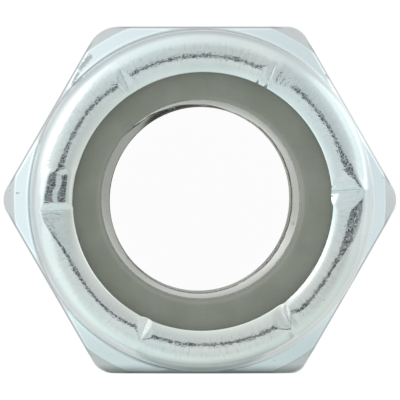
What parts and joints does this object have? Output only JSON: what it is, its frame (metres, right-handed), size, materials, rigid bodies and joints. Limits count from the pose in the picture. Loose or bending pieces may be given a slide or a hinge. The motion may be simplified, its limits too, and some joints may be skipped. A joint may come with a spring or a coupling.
{
  "type": "nylon insert lock nut",
  "caption": "Hexagon nut with a rounded collar rolled in over a nylon locking ring, held by small pressed nicks in the lip.",
  "frame": {"origin": "centre of the bearing face, on the axis of the thread, at the bottom of the nut", "axes": "+Z along the thread axis from the bearing face to the nylon end, X through two opposite corners of the hexagon, Y across two opposite flats"},
  "size_m": [0.0148, 0.013, 0.008],
  "materials": {
    "zinc_plate": "bright zinc plate, slightly blue, satin to glossy",
    "nylon": "matte grey-olive nylon"
  },
  "bodies": {
    "root": {"nut_body": "zinc_plate", "nylon_insert": "nylon"}
  },
  "joints": []
}
